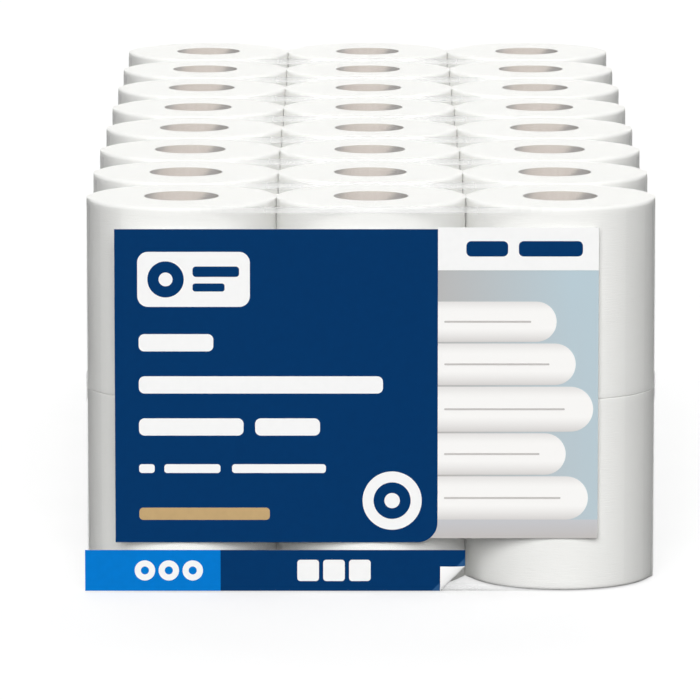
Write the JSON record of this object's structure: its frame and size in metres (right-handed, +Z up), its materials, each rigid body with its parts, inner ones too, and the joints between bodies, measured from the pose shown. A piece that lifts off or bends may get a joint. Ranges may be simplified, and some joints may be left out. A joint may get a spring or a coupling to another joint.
{
  "type": "toilet paper roll pack",
  "caption": "Block of white toilet rolls in clear film-wrapped packs standing one behind another, with a blue and white printed panel and strip on the front.",
  "frame": {"origin": "on the floor, under the middle of the block of packs", "axes": "+Z up, +Y to the back, +X to the right as the printed front is seen"},
  "size_m": [0.2972, 0.8015, 0.2014],
  "materials": {
    "tissue": "matte, creped",
    "clear_film": "clear, glossy",
    "printed_card": "printed, satin"
  },
  "bodies": {
    "root": {"lower_left_rolls": "tissue", "lower_middle_rolls": "tissue", "lower_right_rolls": "tissue", "upper_left_rolls": "tissue", "upper_middle_rolls": "tissue", "upper_right_rolls": "tissue", "film_wrap_1": "clear_film", "film_wrap_2": "clear_film", "film_wrap_3": "clear_film", "film_wrap_4": "clear_film", "film_wrap_5": "clear_film", "film_wrap_6": "clear_film", "film_wrap_7": "clear_film", "film_wrap_8": "clear_film", "label_panel": "printed_card", "label_band": "printed_card"}
  },
  "joints": []
}
